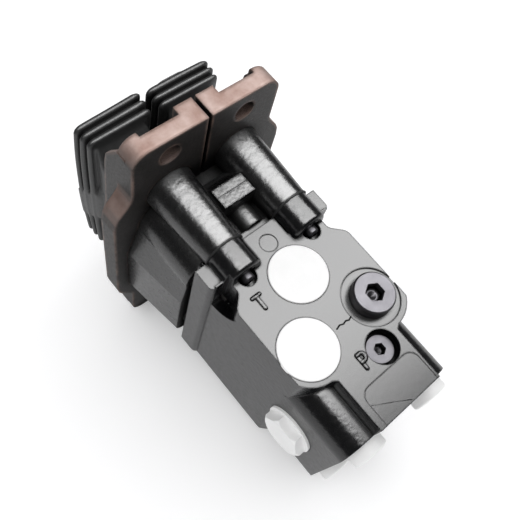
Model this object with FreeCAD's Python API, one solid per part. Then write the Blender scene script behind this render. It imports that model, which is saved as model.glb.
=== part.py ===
"""Two-pedal foot pilot valve: every piece as its own solid, in one frame.

Origin at the centre of the covers' underside, which is the mounting face.
+Z runs up to the pedals, -Y faces the supply and return ports, +X is to the
right seen from the ports. Units are millimetres.
"""
import FreeCAD, Part
import math
import os

os.makedirs("parts", exist_ok=True)
V = FreeCAD.Vector

# Heights of the stack
BOTTOM_Z = -140.0
JOINT_Z = -39.5
SEPARATOR_T = 3.0
COVER_T = 10.0
EDGE_T = 8.0

# Lower casing
BODY_HX = 33.3
BODY_HY = 48.0
SHOULDER_X = 26.9
COVE_R = 18.5
COVE_Y = -46.5
COVE_Z = -49.5
RELIEF_R = 4.6
RELIEF_Z = -59.7
BOSS_X = 19.5
BOSS_Z = -95.6
BOSS_R = 16.6
FOOT_FLAT_X = (-15.0, 17.2)
FOOT_FLAT_TOP = -123.2
FOOT_FLAT_R = 5.0
FOOT_FLAT_D = 0.3
FOOT_HX = 18.4
FOOT_H = 27.8
FLANGE_HX = 35.4
FLANGE_HY = 46.5
FLANGE_Z = -51.2
LUG_R = 9.6
LUG_BOTTOM_Z = -54.5
BOLT_X = 19.3
BOLT_Y = 47.4
BOLT_R = 3.0
STATION_X = 20.0
STATION_Y = 24.7
OUTLET_BOSS_R = 13.3

# Ports
PORT_FACE_R = 14.0
PORT_BORE_R = 7.7
T_PORT = (0.0, -67.7)
P_PORT = (-19.5, -95.8)
LARGE_PLUG = (19.4, -95.4)
SMALL_PLUG = (7.3, -115.0)
SMALL_RECESS_R = 8.0
SMALL_RECESS_D = 6.6
SIDE_PORT_Z = -115.7
SIDE_BORE_R = 9.2
OUTLET_BORE_R = 5.9

# Working bores
SPOOL_R = 5.0
SPOOL_BORE_R = 5.04
CHAMBER_R = 8.6
CHAMBER_Z = -76.0
ROD_R = 4.5
ROD_BORE_R = 4.55
PISTON_R = 10.5
DAMPER_R = 10.55
GUIDE_R = 8.0

# Upper casing
TOWER_R = 16.0
TUBE_LOW_R = 9.9
TUBE_TOP_R = 12.2
CORE_HX = 27.0
CORE_HY = 41.0
SPIGOT_Z = 0.5
BULGE_Z = JOINT_Z + SEPARATOR_T
BLOCK_HX = 8.6
BLOCK_FRONT = 54.5
PARTING_Z = -20.0

# Covers
SLOT_HX = 1.05
COVER_HX = 49.5
COVER_HY = 85.0
EAR_X = 39.5
SEAT_PLAY = 0.1
MOUNT_X = 20.2
MOUNT_Y = 74.0
MOUNT_R = 5.25
POCKET_R = 11.2
POCKET_Z = 4.0

# Cam gear
PIVOT_Z = 20.0
PAD_R = 8.5
TIP_GAP = 0.15
SHAFT_R = 4.5
SHAFT_HX = 14.1
BUSH_R = 5.6
HUB_R = 9.0
HUB_HX = 8.0
LUG_IN = 8.3
LUG_OUT = 13.2
PLATFORM_HX = 11.9
PLATFORM_HY = 45.0
PLATFORM_Z0 = 44.6
PLATFORM_Z1 = 51.0
PEDAL_HOLE_R = 4.25
PEDAL_HOLE_Y = 20.0

# Bellows
RIB_HX = 16.75
RIB_HY = 50.4
GROOVE_HX = 13.2
GROOVE_HY = 46.9
NECK_HX = 15.6
NECK_HY = 41.0
WALL = 1.2
RIB_Z = (37.4, 42.4, 47.4)
RIB_T = 2.6

STATIONS = {
    "left_front": (-STATION_X, -STATION_Y),
    "left_rear": (-STATION_X, STATION_Y),
    "right_front": (STATION_X, -STATION_Y),
    "right_rear": (STATION_X, STATION_Y),
}
BOLTS = [(sx * BOLT_X, sy * BOLT_Y) for sx in (-1, 1) for sy in (-1, 1)]


def box(x0, x1, y0, y1, z0, z1):
    return Part.makeBox(x1 - x0, y1 - y0, z1 - z0, V(x0, y0, z0))


def cyl(r, x, y, z0, z1):
    return Part.makeCylinder(r, z1 - z0, V(x, y, z0), V(0, 0, 1))


def cyl_y(r, x, z, y0, y1):
    return Part.makeCylinder(r, y1 - y0, V(x, y0, z), V(0, 1, 0))


def cyl_x(r, y, z, x0, x1):
    return Part.makeCylinder(r, x1 - x0, V(x0, y, z), V(1, 0, 0))


def ring(r_out, r_in, x, y, z0, z1):
    return cyl(r_out, x, y, z0, z1).cut(cyl(r_in, x, y, z0 - 1, z1 + 1))


def ring_y(r_out, r_in, x, z, y0, y1):
    return cyl_y(r_out, x, z, y0, y1).cut(cyl_y(r_in, x, z, y0 - 1, y1 + 1))


def prism(points, direction):
    """Extrude a closed outline; an entry of two points is an arc through them."""
    edges = []
    here = V(*points[0])
    start = here
    for item in points[1:] + [points[0]]:
        if isinstance(item[0], tuple):
            mid, end = V(*item[0]), V(*item[1])
            edges.append(Part.Arc(here, mid, end).toShape())
            here = end
        else:
            end = V(*item)
            if end.distanceToPoint(here) > 1e-6:
                edges.append(Part.makeLine(here, end))
            here = end
    return Part.Face(Part.Wire(edges)).extrude(V(*direction))


def round_box(hx, hy, r, x, y, z0, z1):
    """Upright rounded rectangle centred on x, y."""
    body = box(x - hx, x + hx, y - hy, y + hy, z0, z1)
    edges = [e for e in body.Edges if abs(e.tangentAt(e.FirstParameter).z) > 0.9]
    return body.makeFillet(r, edges)


def hex_prism(across_flats, centre, direction, length):
    """Hexagonal prism from a centre point along a row axis."""
    r = across_flats / math.sqrt(3.0)
    d = V(*direction)
    u = V(0, 0, 1) if abs(d.z) < 0.5 else V(1, 0, 0)
    w = d.cross(u)
    c = V(*centre)
    turns = [math.radians(60 * i) for i in range(7)]
    pts = [c + u * (r * math.cos(a)) + w * (r * math.sin(a)) for a in turns]
    return Part.Face(Part.makePolygon(pts)).extrude(d * length)


def fuse(shapes):
    out = shapes[0]
    for s in shapes[1:]:
        out = out.fuse(s)
    return out.removeSplitter()


def cut(base, tools):
    for t in tools:
        base = base.cut(t)
    return base


def mirror_x(shape):
    return shape.mirror(V(0, 0, 0), V(1, 0, 0))


def mirror_y(shape):
    return shape.mirror(V(0, 0, 0), V(0, 1, 0))


def spring(x, y, z0, z1, mean_r, wire_r, turns):
    """Round wire coil with its wire inside the two end heights."""
    height = z1 - z0 - 2 * wire_r - 0.1
    helix = Part.makeHelix(height / turns, height, mean_r)
    start = Part.Wire(Part.makeCircle(wire_r, V(mean_r, 0, 0), V(0, 1, 0)))
    body = Part.Wire(helix).makePipeShell([start], True, True)
    body.translate(V(x, y, z0 + wire_r + 0.05))
    return body


def save(name, shape):
    if shape.ShapeType == "Compound" and len(shape.Solids) == 1:
        shape = shape.Solids[0]
    shape.exportStep("parts/%s.step" % name)
    print(name, round(shape.Volume), len(shape.Faces), "valid" if shape.isValid() else "INVALID")


def group(shapes):
    return Part.makeCompound([s.Solids[0] for s in shapes])


def arc_point(deg):
    """Point on the right port boss outline, as x and z."""
    a = math.radians(deg)
    return (BOSS_X + BOSS_R * math.cos(a), BOSS_Z + BOSS_R * math.sin(a))


def casing_profile(y0, y1):
    """Lower casing outline seen from the ports, from the foot to the flange."""
    z_foot = BOTTOM_Z + FOOT_H - 1.5
    low, middle, high = arc_point(-86), arc_point(-60), arc_point(-34.5)
    top = FLANGE_Z + 1.0
    half = prism([
        (0, y0, BOTTOM_Z), (FOOT_HX, y0, BOTTOM_Z), (FOOT_HX, y0, z_foot), (low[0], y0, low[1]),
        ((middle[0], y0, middle[1]), (high[0], y0, high[1])), (BODY_HX, y0, BOSS_Z - 6.0),
        (BODY_HX, y0, -67.0), ((32.8, y0, -65.0), (31.3, y0, -63.1)), (28.4, y0, -60.2),
        ((27.4, y0, -59.0), (SHOULDER_X, y0, -57.6)), (SHOULDER_X, y0, top), (0, y0, top),
    ], (0, y1 - y0, 0))
    return fuse([half, mirror_x(half)])


def shoulder_cove():
    """What is scooped out of the right front shoulder, under the flange."""
    outside = prism([
        (SHOULDER_X, -60.0, FLANGE_Z), (SHOULDER_X, -60.0, -57.6),
        ((27.4, -60.0, -59.0), (28.4, -60.0, -60.2)), (31.3, -60.0, -63.1),
        ((32.8, -60.0, -65.0), (BODY_HX, -60.0, -67.0)), (40.0, -60.0, -67.0), (40.0, -60.0, FLANGE_Z),
    ], (0, 36.0, 0))
    return outside.common(cyl_x(COVE_R, COVE_Y, COVE_Z, 20.0, 41.0))


def bolt_relief(x, y):
    """U-shaped cutter run under a lug, clear of the end of its bolt."""
    z = RELIEF_Z + RELIEF_R
    run = (y - 5.0, y + 5.0)
    slot = box(x - RELIEF_R, x + RELIEF_R, *run, z, LUG_BOTTOM_Z + 0.01)
    return slot.fuse(cyl_y(RELIEF_R, x, z, *run))


def make_lower_casing():
    solids = [casing_profile(-BODY_HY, BODY_HY)]
    solids.append(box(-BODY_HX, BODY_HX, -STATION_Y, STATION_Y, BOTTOM_Z, FLANGE_Z + 1.0))
    solids.append(box(-BODY_HX, BODY_HX, -BODY_HY, BODY_HY, -67.0, FLANGE_Z + 1.0))
    solids += [cyl(OUTLET_BOSS_R, x, y, BOTTOM_Z, -104.0) for x, y in STATIONS.values()]
    flange = box(-FLANGE_HX, FLANGE_HX, -FLANGE_HY, FLANGE_HY, FLANGE_Z, JOINT_Z)
    low = [e for e in flange.Edges
           if abs(e.tangentAt(e.FirstParameter).y) > 0.9 and e.CenterOfMass.z < FLANGE_Z + 0.1]
    solids.append(flange.makeFillet(2.8, low))
    solids.append(box(-9.2, 9.2, -BODY_HY, BODY_HY, FLANGE_Z - 1.0, JOINT_Z - 0.5))
    for x, y in BOLTS:
        lug = cyl(LUG_R, x, y, LUG_BOTTOM_Z, JOINT_Z)
        rim = [e for e in lug.Edges if e.CenterOfMass.z < LUG_BOTTOM_Z + 0.1 and e.Closed]
        solids.append(lug.makeFillet(2.0, rim))
    body = fuse(solids)

    cove = shoulder_cove()
    tools = [cove, mirror_x(cove)]
    for x, y in STATIONS.values():
        tools.append(cyl(OUTLET_BORE_R, x, y, BOTTOM_Z - 1, BOTTOM_Z + 14))
        tools.append(cyl(SPOOL_BORE_R, x, y, BOTTOM_Z + 13, CHAMBER_Z + 1))
        tools.append(cyl(CHAMBER_R, x, y, CHAMBER_Z, JOINT_Z + 1))
        tools.append(ring(12.4, 10.8, x, y, JOINT_Z - 1.3, JOINT_Z + 1))
    for x, y in BOLTS:
        tools.append(bolt_relief(x, y))
        tools.append(cyl(BOLT_R + 0.05, x, y, LUG_BOTTOM_Z - 1, JOINT_Z + 1))
    for x, z in (T_PORT, P_PORT):
        tools.append(cyl_y(PORT_FACE_R, x, z, -BODY_HY - 1, -BODY_HY + 1.0))
        tools.append(cyl_y(PORT_BORE_R, x, z, -BODY_HY, -BODY_HY + 14))
    x, z = LARGE_PLUG
    tools.append(cyl_y(PORT_FACE_R, x, z, -BODY_HY - 1, -BODY_HY + 0.8))
    tools.append(cyl_y(8.25, x, z, -BODY_HY, -BODY_HY + 14))
    x, z = SMALL_PLUG
    tools.append(cyl_y(SMALL_RECESS_R, x, z, -BODY_HY - 1, -BODY_HY + SMALL_RECESS_D))
    tools.append(cyl_y(4.9, x, z, -BODY_HY, -BODY_HY + SMALL_RECESS_D + 9))
    tools.append(cyl_y(4.3, -0.9, -48.3, -BODY_HY - 1, -BODY_HY + 3.5))
    tools.append(cyl_x(SIDE_BORE_R, 0, SIDE_PORT_Z, -BODY_HX - 1, -BODY_HX + 11))
    # Return drillings at the return port height, supply drillings at the supply port height
    tools.append(cyl_x(3.2, -STATION_Y, T_PORT[1], -STATION_X, STATION_X))
    tools.append(cyl_x(3.2, STATION_Y, T_PORT[1], -STATION_X, STATION_X))
    tools.append(cyl_y(3.2, 0, T_PORT[1], -BODY_HY + 10, STATION_Y))
    for sx in (-1, 1):
        tools.append(cyl_y(3.0, sx * 19.5, -95.6, -BODY_HY + 10, STATION_Y))
    tools.append(cyl_x(3.0, 0, -95.6, -19.5, 19.5))
    tools.append(cyl_x(2.0, 0, SIDE_PORT_Z, -BODY_HX + 10, -19.0))
    tools.append(cyl_y(2.0, -19.5, SIDE_PORT_Z, -STATION_Y, STATION_Y))
    # Shallow milled flat on the foot
    x0, x1 = FOOT_FLAT_X
    flat = box(x0, x1, -BODY_HY - 1, -BODY_HY + FOOT_FLAT_D, BOTTOM_Z - 10, FOOT_FLAT_TOP)
    corners = [e for e in flat.Edges
               if e.CenterOfMass.z > FOOT_FLAT_TOP - 0.1 and abs(e.CenterOfMass.x - 1.1) > 10]
    tools.append(flat.makeFillet(FOOT_FLAT_R, corners))
    return cut(body, tools)


def make_separator():
    body = round_box(31.0, 43.5, 6.0, 0, 0, JOINT_Z, JOINT_Z + SEPARATOR_T)
    tools = []
    for x, y in BOLTS:
        tools.append(cyl(11.0, x, y, JOINT_Z - 1, JOINT_Z + SEPARATOR_T + 1))
    for x, y in STATIONS.values():
        tools.append(cyl(ROD_BORE_R, x, y, JOINT_Z - 1, JOINT_Z + SEPARATOR_T + 1))
        tools.append(cyl(6.6, x, y, JOINT_Z - 1, JOINT_Z + 2.0))
    return cut(body, tools)


def side_bulge(z0, z1, grow=0.0):
    """Passage housing on the left flank, drawn in towards its foot."""
    def outline(z, reach):
        left = -reach - grow
        back = 41.0 + grow
        pts = [V(-10, -30, z), V(-34 - grow, -32.5 - grow, z), V(left, -4, z), V(left, 33, z)]
        edges = [Part.makeLine(pts[i], pts[i + 1]) for i in range(3)]
        corner = left + 8.0
        edges.append(Part.Arc(pts[3], V(left + 2.34, back - 2.34, z), V(corner, back, z)).toShape())
        edges.append(Part.makeLine(V(corner, back, z), V(-10, back, z)))
        edges.append(Part.makeLine(V(-10, back, z), pts[0]))
        return Part.Wire(edges)
    low = 37.5 + (42.2 - 37.5) * (z0 - BULGE_Z) / (0.0 - BULGE_Z) if z0 < 0 else 42.2
    return Part.makeLoft([outline(z0, low), outline(z1, 42.2)], True, True)


def casing_top(z0, z1, grow):
    """Footprint of the upper casing where it seats in the covers."""
    solids = [round_box(CORE_HX + grow, CORE_HY + grow, 4.0, 0, 0, z0, z1)]
    solids += [cyl(TOWER_R + grow, x, y, z0, z1) for x, y in STATIONS.values()]
    solids += [cyl(TUBE_TOP_R + grow, x, y, z0, z1) for x, y in BOLTS]
    bulge = side_bulge(z0, z1, grow)
    return fuse(solids + [bulge, mirror_x(bulge)])


def make_upper_casing():
    z0 = JOINT_Z + SEPARATOR_T
    solids = [round_box(CORE_HX, CORE_HY, 4.0, 0, 0, z0, 0.0)]
    for x, y in STATIONS.values():
        solids.append(cyl(TOWER_R, x, y, z0, 0.0))
    bulge = side_bulge(z0, 0.0)
    solids += [bulge, mirror_x(bulge)]
    for x, y in BOLTS:
        solids.append(Part.makeCone(TUBE_LOW_R, TUBE_TOP_R, -JOINT_Z, V(x, y, JOINT_Z), V(0, 0, 1)))
    y, inner = -BLOCK_FRONT, -38.0
    block = prism([
        (-BLOCK_HX, y, -26.0), (-BLOCK_HX, y, -15.6), (-BLOCK_HX, -44.0, -7.0),
        (-BLOCK_HX, inner, -7.0), (-BLOCK_HX, inner, -26.0),
    ], (2 * BLOCK_HX, 0, 0))
    solids += [block, mirror_y(block)]
    solids += [cyl(6.0, 1.5, -40.5, z0, -10.0), cyl(6.0, -1.5, 40.5, z0, -10.0)]
    solids.append(casing_top(-0.5, SPIGOT_Z, 0.0))
    body = fuse(solids)
    tools = []
    for x, y in STATIONS.values():
        tools.append(cyl(DAMPER_R, x, y, z0 - 1, 1))
        tools.append(ring(13.6, 12.0, x, y, z0 - 1, z0 + 1.2))
    for x, y in BOLTS:
        tools.append(cyl(BOLT_R + 0.3, x, y, JOINT_Z - 1, 1))
    for sx in (-1, 1):
        tools.append(cyl(7.0, sx * 30.0, 0, z0 + 12, 1))
        tools.append(cyl_y(1.6, sx * 30.0, -8.0, -18.0, 18.0))
    # Parting line groove across the cast block
    for sy in (-1, 1):
        y = sy * BLOCK_FRONT
        tools.append(box(-9, 9, y - 0.3, y + 0.3, PARTING_Z - 0.4, PARTING_Z))
    return cut(body, tools)


def cover_outline(z0, z1):
    """Left cover outline, both ends alike."""
    half = [
        (-SLOT_HX, -COVER_HY), (-31.0, -COVER_HY), ((-37.2, -82.4), (-EAR_X, -76.5)), (-EAR_X, -56.0),
        (-40.4, -52.9), (-42.8, -49.1), (-46.6, -44.4), (-48.6, -40.0), (-COVER_HX, -34.0),
    ]
    pts = []
    for p in half:
        if isinstance(p[0], tuple):
            pts.append(((p[0][0], p[0][1], z0), (p[1][0], p[1][1], z0)))
        else:
            pts.append((p[0], p[1], z0))
    back = [
        (-COVER_HX, 34.0), (-48.6, 40.0), (-46.6, 44.4), (-42.8, 49.1), (-40.4, 52.9), (-EAR_X, 56.0),
        (-EAR_X, 76.5), ((-37.2, 82.4), (-31.0, COVER_HY)), (-SLOT_HX, COVER_HY),
    ]
    for p in back:
        if isinstance(p[0], tuple):
            pts.append(((p[0][0], p[0][1], z0), (p[1][0], p[1][1], z0)))
        else:
            pts.append((p[0], p[1], z0))
    return prism(pts, (0, 0, z1 - z0))


def make_left_cover():
    plate = cover_outline(0.0, EDGE_T)
    solids = [plate]
    tall = cover_outline(0.0, 30.0)
    solids.append(tall.common(box(-50, 0, -66.0, 66.0, 0, COVER_T)))
    for sy in (-1, 1):
        y0, y1 = sorted((sy * 86.0, sy * 72.0))
        ear = tall.common(box(-41, -30.2, y0, y1, 0, 11.2))
        rim = [e for e in ear.Edges if e.CenterOfMass.z > 11.1 and e.CenterOfMass.x < -33]
        solids.append(ear.makeFillet(2.0, rim))
        y0, y1 = sorted((sy * COVER_HY, sy * 74.0))
        solids.append(box(-10.4, -SLOT_HX, y0, y1, 0, 12.2))
    rise = [(79.0, 5.0), (79.0, 10.5), (68.0, 18.6), (60.0, 20.0), (25.0, 21.6), (8.0, 25.0)]
    front = [(-EAR_X, -y, z) for y, z in rise]
    rear = [(-EAR_X, y, z) for y, z in reversed(rise)]
    wall = prism(front + rear, (2.6, 0, 0))
    solids.append(wall)
    for x0, x1 in ((-STATION_X - LUG_OUT, -STATION_X - LUG_IN), (-STATION_X + LUG_IN, -STATION_X + LUG_OUT)):
        lug = fuse([box(x0, x1, -9.0, 9.0, 5.0, PIVOT_Z), cyl_x(9.0, 0, PIVOT_Z, x0, x1)])
        solids.append(lug)
    body = fuse(solids)
    tools = [cyl_x(SHAFT_R + 0.02, 0, PIVOT_Z, -STATION_X - LUG_OUT - 1, -STATION_X + LUG_OUT + 1)]
    tools.append(casing_top(-1.0, SPIGOT_Z, SEAT_PLAY))
    for sy in (-1, 1):
        tools.append(cyl(GUIDE_R + 0.02, -STATION_X, sy * STATION_Y, -1, COVER_T + 1))
        tools.append(cyl(POCKET_R, -STATION_X, sy * STATION_Y, POCKET_Z, COVER_T + 1))
        tools.append(cyl(BOLT_R + 0.3, -BOLT_X, sy * BOLT_Y, -1, 12))
        tools.append(cyl(5.5, -BOLT_X, sy * BOLT_Y, EDGE_T, 20))
        tools.append(cyl(MOUNT_R, -MOUNT_X, sy * MOUNT_Y, -1, 14))
    for x in (-STATION_X - 10.75, -STATION_X + 10.75):
        tools.append(cyl(2.5, x, 0, PIVOT_Z + SHAFT_R - 1, PIVOT_Z + 12))
    return cut(body, tools)


def make_rod(x, y):
    top = PIVOT_Z - PAD_R - TIP_GAP
    rod = cyl(ROD_R, x, y, -50.0, top)
    rim = [e for e in rod.Edges if e.Closed and e.CenterOfMass.z > top - 0.1]
    rod = rod.makeChamfer(0.8, rim)
    neck = ring(ROD_R + 1, 3.5, x, y, -51.0, -47.0)
    return rod.cut(neck)


def make_piston(x, y):
    body = cyl(PISTON_R, x, y, -20.0, -12.0)
    body = body.cut(cyl(ROD_R, x, y, -21, -11))
    body = body.cut(ring(PISTON_R + 1, PISTON_R - 0.8, x, y, -17.0, -15.0))
    for i in range(4):
        a = math.radians(45 + 90 * i)
        body = body.cut(cyl(0.9, x + 7.6 * math.cos(a), y + 7.6 * math.sin(a), -21, -11))
    return body


def make_seat(x, y):
    """Spring seat clipped on the rod's lower end."""
    body = cyl(CHAMBER_R - 0.4, x, y, -54.0, -47.0)
    return cut(body, [cyl(3.5, x, y, -50.0, -46), cyl(3.6, x, y, -55, -51.5)])


def make_spool(x, y):
    solids = [
        cyl(SPOOL_R, x, y, -124.0, -75.0), cyl(CHAMBER_R - 0.6, x, y, -74.0, -72.0),
        cyl(3.0, x, y, -76.0, -60.0),
    ]
    body = fuse(solids)
    tools = [
        ring(SPOOL_R + 1, 3.6, x, y, -112.0, -106.0), ring(SPOOL_R + 1, 3.6, x, y, -98.6, -92.6),
        cyl(2.0, x, y, -125, -100.0), cyl_x(1.2, y, -109.0, x - 5, x + 5),
    ]
    return cut(body, tools)


def make_left_cam():
    x = -STATION_X
    solids = [cyl_x(HUB_R, 0, PIVOT_Z, x - HUB_HX, x + HUB_HX)]
    for sy in (-1, 1):
        solids.append(cyl_x(PAD_R, sy * STATION_Y, PIVOT_Z, x - 6.0, x + 6.0))
    solids.append(box(x - 6.0, x + 6.0, -STATION_Y, STATION_Y, PIVOT_Z - 3.0, PIVOT_Z + 8.0))
    web = prism([(x - 5.0, -30.0, PIVOT_Z + 3), (x - 5.0, 30.0, PIVOT_Z + 3),
                 (x - 5.0, 40.0, PLATFORM_Z0 + 0.5), (x - 5.0, -40.0, PLATFORM_Z0 + 0.5)], (10.0, 0, 0))
    solids.append(web)
    for sy in (-1, 1):
        solids.append(cyl(9.0, x, sy * PEDAL_HOLE_Y, PIVOT_Z + 8.0, PLATFORM_Z0 + 0.5))
    solids.append(round_box(PLATFORM_HX, PLATFORM_HY, 8.0, x, 0, PLATFORM_Z0, PLATFORM_Z1))
    body = fuse(solids)
    tools = [cyl_x(BUSH_R, 0, PIVOT_Z, x - 20, x + 20)]
    for sy in (-1, 1):
        tools.append(cyl(PEDAL_HOLE_R, x, sy * PEDAL_HOLE_Y, PLATFORM_Z1 - 16.0, PLATFORM_Z1 + 1))
    return cut(body, tools)


def make_left_bush():
    x = -STATION_X
    tube = cyl_x(BUSH_R, 0, PIVOT_Z, x - HUB_HX, x + HUB_HX)
    return tube.cut(cyl_x(SHAFT_R + 0.05, 0, PIVOT_Z, x - 20, x + 20))


def make_left_shaft():
    x = -STATION_X
    body = cyl_x(SHAFT_R, 0, PIVOT_Z, x - SHAFT_HX, x + SHAFT_HX)
    rims = [e for e in body.Edges if e.Closed]
    body = body.makeChamfer(0.6, rims)
    for dx in (-10.75, 10.75):
        body = body.cut(cyl(2.2, x + dx, 0, PIVOT_Z + SHAFT_R - 0.5, PIVOT_Z + 10))
    return body


def make_left_bellows():
    """Rubber boot: a neck on the cover, a shoulder and three thin ribs, open at both ends."""
    x = -STATION_X
    shoulder_z = RIB_Z[0] - 4.6
    top_z = RIB_Z[-1] + 2.6
    outer = [
        round_box(NECK_HX, NECK_HY, 7.0, x, 0, COVER_T, shoulder_z + 0.5),
        round_box(NECK_HX + 0.9, NECK_HY + 0.9, 7.9, x, 0, COVER_T, COVER_T + 2.0),
        round_box(NECK_HX, GROOVE_HY, 8.5, x, 0, shoulder_z, RIB_Z[0]),
        round_box(GROOVE_HX, GROOVE_HY, 8.0, x, 0, RIB_Z[0] - 1.0, top_z),
    ]
    outer += [round_box(RIB_HX, RIB_HY, 9.0, x, 0, z - RIB_T / 2, z + RIB_T / 2) for z in RIB_Z]
    inner = [
        round_box(NECK_HX - WALL, NECK_HY - WALL, 6.0, x, 0, COVER_T - 1, shoulder_z + 2.0),
        round_box(NECK_HX - WALL - 0.1, GROOVE_HY - WALL, 7.5, x, 0, shoulder_z + WALL, RIB_Z[0] - 0.4),
        round_box(GROOVE_HX - WALL, GROOVE_HY - WALL, 7.0, x, 0, RIB_Z[0] - 1.0, top_z + 1.0),
    ]
    inner += [round_box(RIB_HX - 1.5, RIB_HY - 1.5, 8.0, x, 0, z - 0.35, z + 0.35) for z in RIB_Z]
    return cut(fuse(outer), inner)


def port_cap(x, z):
    """Push-in shipping cap of a front port."""
    disc = cyl_y(13.85, x, z, -BODY_HY - 0.6, -BODY_HY + 1.0)
    rim = [e for e in disc.Edges if e.Closed and e.CenterOfMass.y < -BODY_HY - 0.5]
    disc = disc.makeFillet(0.4, rim)
    stem = ring_y(PORT_BORE_R - 0.03, PORT_BORE_R - 1.4, x, z, -BODY_HY + 0.5, -BODY_HY + 9)
    return disc.fuse(stem).removeSplitter()


def outlet_cap(x, y):
    head = fuse([cyl(9.0, x, y, BOTTOM_Z - 6.5, BOTTOM_Z - 0.0)])
    rim = [e for e in head.Edges if e.Closed and e.CenterOfMass.z < BOTTOM_Z - 6.4]
    head = head.makeFillet(1.0, rim)
    stem = ring(OUTLET_BORE_R - 0.03, OUTLET_BORE_R - 1.3, x, y, BOTTOM_Z - 1.0, BOTTOM_Z + 8)
    return head.fuse(stem).removeSplitter()


def make_side_plug():
    x = -BODY_HX
    flange = cyl_x(13.0, 0, SIDE_PORT_Z, x - 1.3, x)
    head = hex_prism(21.0, (x - 1.2, 0, SIDE_PORT_Z), (-1, 0, 0), 5.4)
    dome = Part.makeCone(13.6, 10.6, 3.0, V(x - 3.7, 0, SIDE_PORT_Z), V(-1, 0, 0))
    head = head.common(fuse([cyl_x(13.6, 0, SIDE_PORT_Z, x - 3.7, x), dome]))
    stem = cyl_x(SIDE_BORE_R - 0.03, 0, SIDE_PORT_Z, x - 1, x + 9)
    body = fuse([flange, head, stem])
    return body.cut(cyl_x(SIDE_BORE_R - 1.6, 0, SIDE_PORT_Z, x - 3.0, x + 10))


def make_large_plug():
    x, z = LARGE_PLUG
    y = -BODY_HY + 0.8
    head = cyl_y(10.0, x, z, y - 6.2, y)
    rim = [e for e in head.Edges if e.Closed and e.CenterOfMass.y < y - 6.1]
    head = head.makeChamfer(0.7, rim)
    stem = cyl_y(8.2, x, z, y - 0.5, y + 10)
    body = fuse([head, stem])
    body = body.cut(ring_y(8.6, 7.0, x, z, y, y + 1.6))
    return body.cut(hex_prism(8.0, (x, y - 7.0, z), (0, 1, 0), 6.2))


def make_small_plug():
    x, z = SMALL_PLUG
    y = -BODY_HY + SMALL_RECESS_D
    head = cyl_y(6.9, x, z, y - 3.0, y)
    rim = [e for e in head.Edges if e.Closed and e.CenterOfMass.y < y - 2.9]
    head = head.makeChamfer(0.5, rim)
    stem = cyl_y(4.85, x, z, y - 0.5, y + 7)
    body = fuse([head, stem])
    body = body.cut(ring_y(5.0, 4.0, x, z, y, y + 1.1))
    return body.cut(hex_prism(5.0, (x, y - 4.0, z), (0, 1, 0), 4.6))


def tie_bolt(x, y):
    head = cyl(5.0, x, y, EDGE_T, EDGE_T + 6.0)
    rim = [e for e in head.Edges if e.Closed and e.CenterOfMass.z > EDGE_T + 5.9]
    head = head.makeFillet(0.6, rim)
    shank = cyl(BOLT_R, x, y, -57.5, EDGE_T + 0.5)
    rim = [e for e in shank.Edges if e.Closed and e.CenterOfMass.z < -57.4]
    shank = shank.makeChamfer(0.7, rim)
    body = fuse([head, shank])
    return body.cut(hex_prism(5.0, (x, y, EDGE_T + 3.0), (0, 0, 1), 4.0))


def rod_guide(x, y):
    body = fuse([cyl(GUIDE_R, x, y, -1.0, POCKET_Z), cyl(10.45, x, y, -4.0, SPIGOT_Z)])
    return cut(body, [cyl(ROD_BORE_R, x, y, -5, 6), cyl(6.6, x, y, POCKET_Z - 2.4, 6)])


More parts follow.
